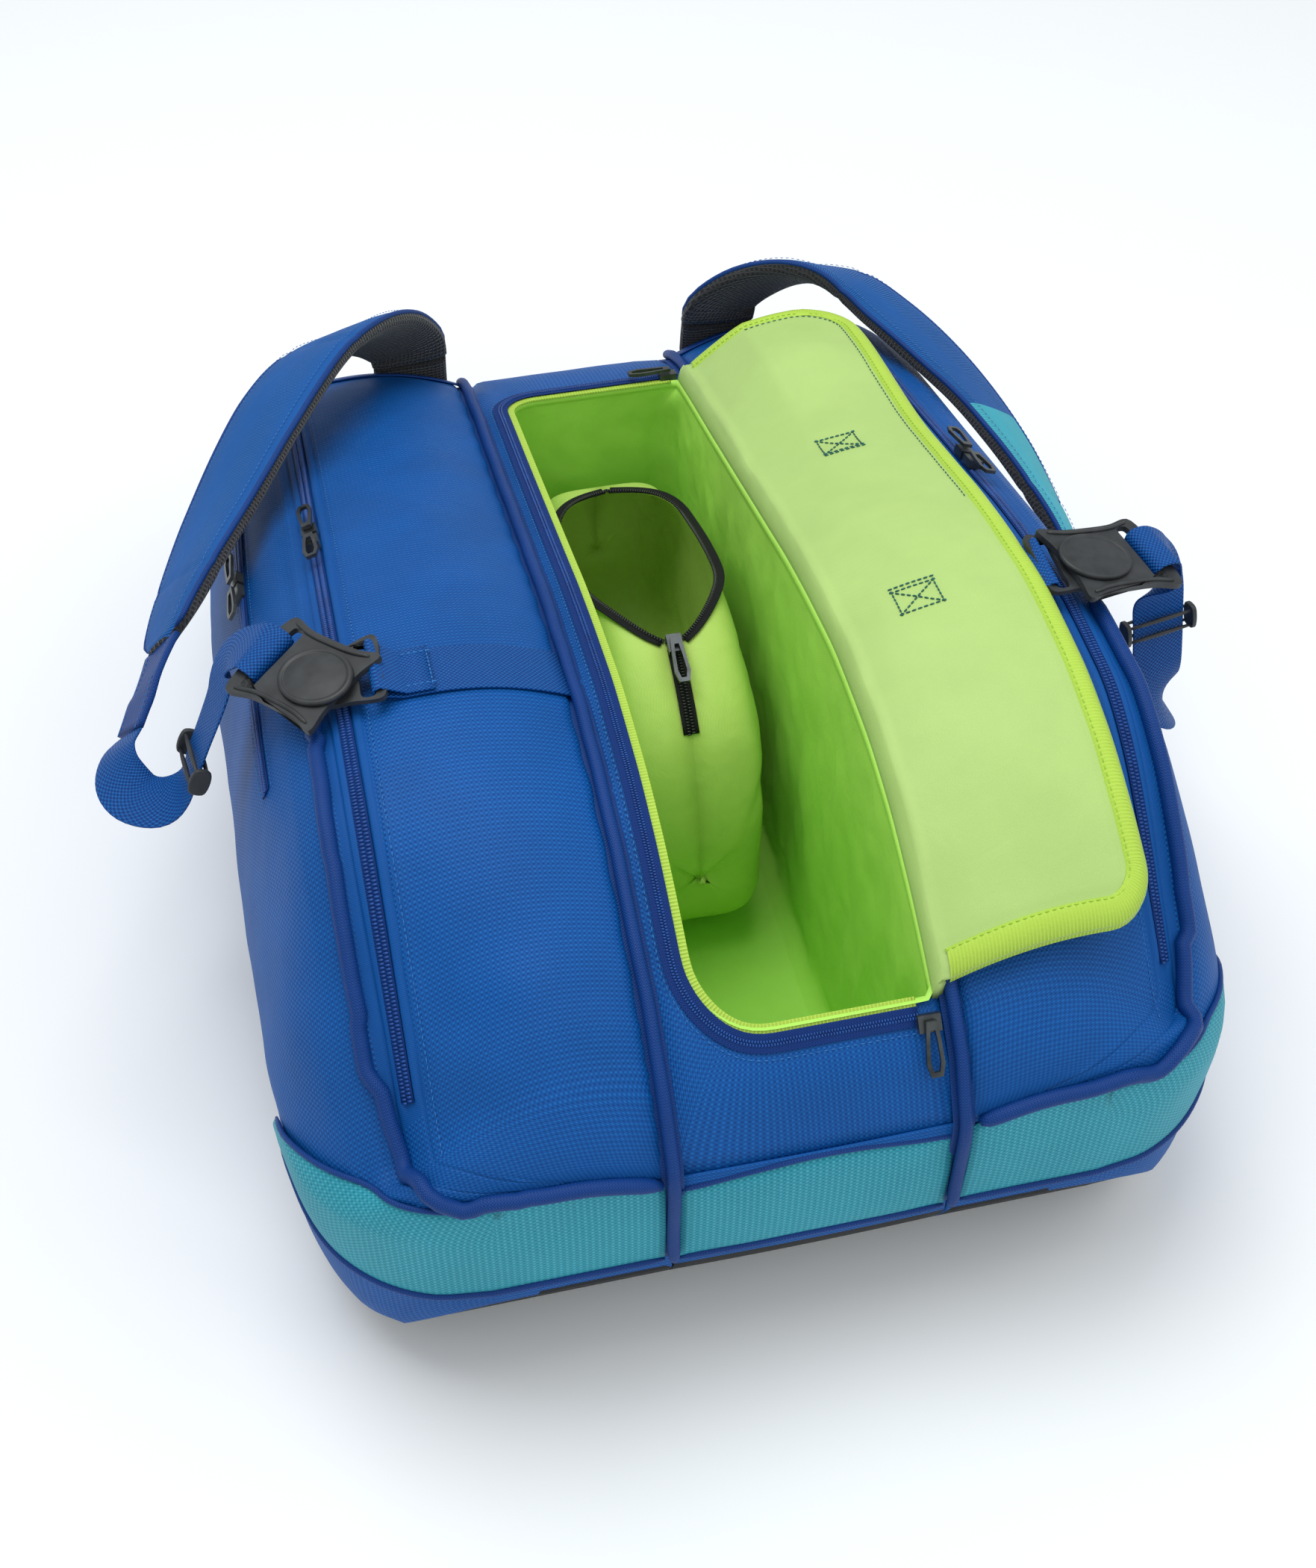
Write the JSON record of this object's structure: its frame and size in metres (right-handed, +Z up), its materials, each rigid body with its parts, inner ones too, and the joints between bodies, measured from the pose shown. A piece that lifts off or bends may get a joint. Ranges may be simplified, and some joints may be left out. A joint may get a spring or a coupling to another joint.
{
  "type": "racket tournament bag",
  "caption": "Large three-compartment racket bag with an arched top, open centre lid, lime lining, coil zips with loop pulls, arched shoulder straps and a shoe pouch.",
  "frame": {"origin": "middle of the base panel, on the floor", "axes": "+X to the right compartment, +Y from the near end to the far end, +Z up"},
  "size_m": [0.6868, 0.7653, 0.3316],
  "materials": {
    "black_base_fabric": "coated",
    "black_plastic": "moulded",
    "black_zip": "coil zip",
    "blue_fabric": "dobby weave",
    "blue_piping": "covered cord",
    "blue_webbing": "basket weave",
    "blue_zip": "coil zip",
    "centre_fabric": "dobby weave",
    "gunmetal": "satin",
    "lime_lining": "plain weave",
    "lime_tape": "ribbed tape",
    "pouch_fabric": "plain weave",
    "strap_fabric": "ribbed weave",
    "turquoise_fabric": "dobby weave"
  },
  "bodies": {
    "bag": {"base_panel": "black_base_fabric", "centre_compartment": "centre_fabric", "centre_end_panel": "turquoise_fabric", "centre_zip": "blue_zip", "far_edge_zip": "blue_zip", "left_anchor_webbing": "blue_webbing", "left_buckle_inner": "black_plastic", "left_compartment": "blue_fabric", "left_end_panel": "turquoise_fabric", "left_main_zip": "blue_zip", "left_rim_piping": "blue_piping", "left_valley_piping": "blue_piping", "near_edge_zip": "blue_zip", "right_anchor_webbing": "blue_webbing", "right_buckle_inner": "black_plastic", "right_compartment": "blue_fabric", "right_end_panel": "turquoise_fabric", "right_main_zip": "blue_zip", "right_rim_piping": "blue_piping", "right_valley_piping": "blue_piping", "side_pocket_zip": "blue_zip"},
    "lid_near": {"lid_near_half": "lime_lining", "lid_binding_near": "lime_tape"},
    "lid_far": {"lid_far_half": "lime_lining", "lid_binding_far": "lime_tape", "lid_handle": "blue_webbing"},
    "left_strap": {"left_shoulder_strap": "strap_fabric", "left_strap_tab": "blue_webbing", "left_strap_webbing": "blue_webbing"},
    "left_buckle": {"left_buckle_outer": "black_plastic", "left_pivot_cover": "black_plastic"},
    "left_triglide_body": {"left_triglide": "black_plastic"},
    "right_strap": {"right_shoulder_strap": "strap_fabric", "right_strap_tab": "blue_webbing", "right_strap_webbing": "blue_webbing"},
    "right_buckle": {"right_buckle_outer": "black_plastic", "right_pivot_cover": "black_plastic"},
    "right_triglide_body": {"right_triglide": "black_plastic"},
    "pouch": {"shoe_pouch": "pouch_fabric", "shoe_pouch_zip": "black_zip"},
    "left_main_near_slider_body": {"left_main_near_slider": "gunmetal"},
    "left_main_near_pull_body": {"left_main_near_pull": "gunmetal"},
    "left_main_far_slider_body": {"left_main_far_slider": "gunmetal"},
    "left_main_far_pull_body": {"left_main_far_pull": "gunmetal"},
    "right_main_near_slider_body": {"right_main_near_slider": "gunmetal"},
    "right_main_near_pull_body": {"right_main_near_pull": "gunmetal"},
    "right_main_far_slider_body": {"right_main_far_slider": "gunmetal"},
    "right_main_far_pull_body": {"right_main_far_pull": "gunmetal"},
    "side_pocket_near_slider_body": {"side_pocket_near_slider": "gunmetal"},
    "side_pocket_near_pull_body": {"side_pocket_near_pull": "gunmetal"},
    "side_pocket_far_slider_body": {"side_pocket_far_slider": "gunmetal"},
    "side_pocket_far_pull_body": {"side_pocket_far_pull": "gunmetal"},
    "centre_near_slider_body": {"centre_near_slider": "gunmetal"},
    "centre_near_pull_body": {"centre_near_pull": "gunmetal"},
    "centre_far_slider_body": {"centre_far_slider": "gunmetal"},
    "centre_far_pull_body": {"centre_far_pull": "gunmetal"},
    "shoe_pouch_slider_body": {"shoe_pouch_slider": "gunmetal"},
    "shoe_pouch_pull_body": {"shoe_pouch_pull": "gunmetal"}
  },
  "joints": [
    {"name": "lid_hinge", "type": "hinge", "parent": "bag", "child": "lid_near", "pos_m": [0.0725, -0.14, 0.314], "axis": [0, -0.9622, -0.2722], "range_deg": [0, 178]},
    {"name": "lid_bend", "type": "hinge", "parent": "lid_near", "child": "lid_far", "pos_m": [0.0725, -0.14, 0.314], "axis": [1, 0, 0], "range_deg": [0, 61.35]},
    {"name": "shoe_pouch_lift", "type": "slide", "parent": "bag", "child": "pouch", "axis": [0, 0, 1], "range_m": [0, 0.36]},
    {"name": "left_strap_swing", "type": "hinge", "parent": "bag", "child": "left_strap", "pos_m": [-0.117, 0.3195, 0.1945], "axis": [-1, 0, 0], "range_deg": [0, 70]},
    {"name": "left_buckle_pivot", "type": "hinge", "parent": "left_strap", "child": "left_buckle", "pos_m": [-0.2195, -0.127, 0.32019], "axis": [-0.225, 0, 0.9744], "range_deg": [-4, 4]},
    {"name": "left_triglide_slide", "type": "slide", "parent": "left_strap", "child": "left_triglide_body", "axis": [-0.4573, -0.2479, -0.854], "range_m": [-0.01, 0.01]},
    {"name": "right_strap_swing", "type": "hinge", "parent": "bag", "child": "right_strap", "pos_m": [0.117, 0.3195, 0.1945], "axis": [-1, 0, 0], "range_deg": [0, 70]},
    {"name": "right_buckle_pivot", "type": "hinge", "parent": "right_strap", "child": "right_buckle", "pos_m": [0.2278, -0.127, 0.32019], "axis": [0.225, 0, 0.9744], "range_deg": [-4, 4]},
    {"name": "right_triglide_slide", "type": "slide", "parent": "right_strap", "child": "right_triglide_body", "axis": [0.0948, -0.1952, -0.9762], "range_m": [-0.01, 0.01]},
    {"name": "left_main_near_slider_run", "type": "slide", "parent": "bag", "child": "left_main_near_slider_body", "axis": [0, 0.9637, -0.2669], "range_m": [-0.07, 0.002]},
    {"name": "left_main_near_pull_flip", "type": "hinge", "parent": "left_main_near_slider_body", "child": "left_main_near_pull_body", "pos_m": [-0.21139, 0.04319, 0.27896], "axis": [-0.9614, -0.0735, -0.2653], "range_deg": [0, 150]},
    {"name": "left_main_far_slider_run", "type": "slide", "parent": "bag", "child": "left_main_far_slider_body", "axis": [0, 0.9637, -0.2669], "range_m": [-0.002, 0.1]},
    {"name": "left_main_far_pull_flip", "type": "hinge", "parent": "left_main_far_slider_body", "child": "left_main_far_pull_body", "pos_m": [-0.21139, 0.05819, 0.2748], "axis": [0.9614, 0.0735, 0.2653], "range_deg": [0, 150]},
    {"name": "right_main_near_slider_run", "type": "slide", "parent": "bag", "child": "right_main_near_slider_body", "axis": [0, 0.9637, -0.2669], "range_m": [-0.05, 0.002]},
    {"name": "right_main_near_pull_flip", "type": "hinge", "parent": "right_main_near_slider_body", "child": "right_main_near_pull_body", "pos_m": [0.21139, 0.02319, 0.28449], "axis": [-0.9614, 0.0735, 0.2653], "range_deg": [0, 150]},
    {"name": "right_main_far_slider_run", "type": "slide", "parent": "bag", "child": "right_main_far_slider_body", "axis": [0, 0.9637, -0.2669], "range_m": [-0.002, 0.1]},
    {"name": "right_main_far_pull_flip", "type": "hinge", "parent": "right_main_far_slider_body", "child": "right_main_far_pull_body", "pos_m": [0.21139, 0.03819, 0.28034], "axis": [0.9614, -0.0735, -0.2653], "range_deg": [0, 150]},
    {"name": "side_pocket_near_slider_run", "type": "slide", "parent": "bag", "child": "side_pocket_near_slider_body", "axis": [0.0189, 0.9815, -0.1906], "range_m": [-0.045, 0.002]},
    {"name": "side_pocket_near_pull_flip", "type": "hinge", "parent": "side_pocket_near_slider_body", "child": "side_pocket_near_pull_body", "pos_m": [-0.26443, 0.04787, 0.23891], "axis": [-0.5458, -0.1496, -0.8245], "range_deg": [0, 28]},
    {"name": "side_pocket_far_slider_run", "type": "slide", "parent": "bag", "child": "side_pocket_far_slider_body", "axis": [0.019, 0.9815, -0.1904], "range_m": [-0.002, 0.055]},
    {"name": "side_pocket_far_pull_flip", "type": "hinge", "parent": "side_pocket_far_slider_body", "child": "side_pocket_far_pull_body", "pos_m": [-0.26408, 0.06289, 0.23609], "axis": [0.5581, 0.1476, 0.8166], "range_deg": [0, 16]},
    {"name": "centre_near_slider_run", "type": "slide", "parent": "bag", "child": "centre_near_slider_body", "axis": [-1, 0, 0], "range_m": [0, 0.085]},
    {"name": "centre_near_pull_flip", "type": "hinge", "parent": "centre_near_slider_body", "child": "centre_near_pull_body", "pos_m": [0.065, -0.35938, 0.23284], "axis": [-1, 0, 0], "range_deg": [0, 150]},
    {"name": "centre_far_slider_run", "type": "slide", "parent": "bag", "child": "centre_far_slider_body", "axis": [-1, 0, 0], "range_m": [0, 0.085]},
    {"name": "centre_far_pull_flip", "type": "hinge", "parent": "centre_far_slider_body", "child": "centre_far_pull_body", "pos_m": [0.064, 0.2572, 0.20496], "axis": [0, 0.9637, -0.2669], "range_deg": [0, 150]},
    {"name": "shoe_pouch_slider_run", "type": "slide", "parent": "pouch", "child": "shoe_pouch_slider_body", "axis": [0, 0.9701, 0.2425], "range_m": [0, 0.025]},
    {"name": "shoe_pouch_pull_flip", "type": "hinge", "parent": "shoe_pouch_slider_body", "child": "shoe_pouch_pull_body", "pos_m": [-0.002, -0.05382, 0.23788], "axis": [-1, 0, 0], "range_deg": [0, 150]}
  ],
  "couplings": [
    {"joint": "lid_bend", "follows": "lid_hinge", "ratio": 0.34409}
  ]
}
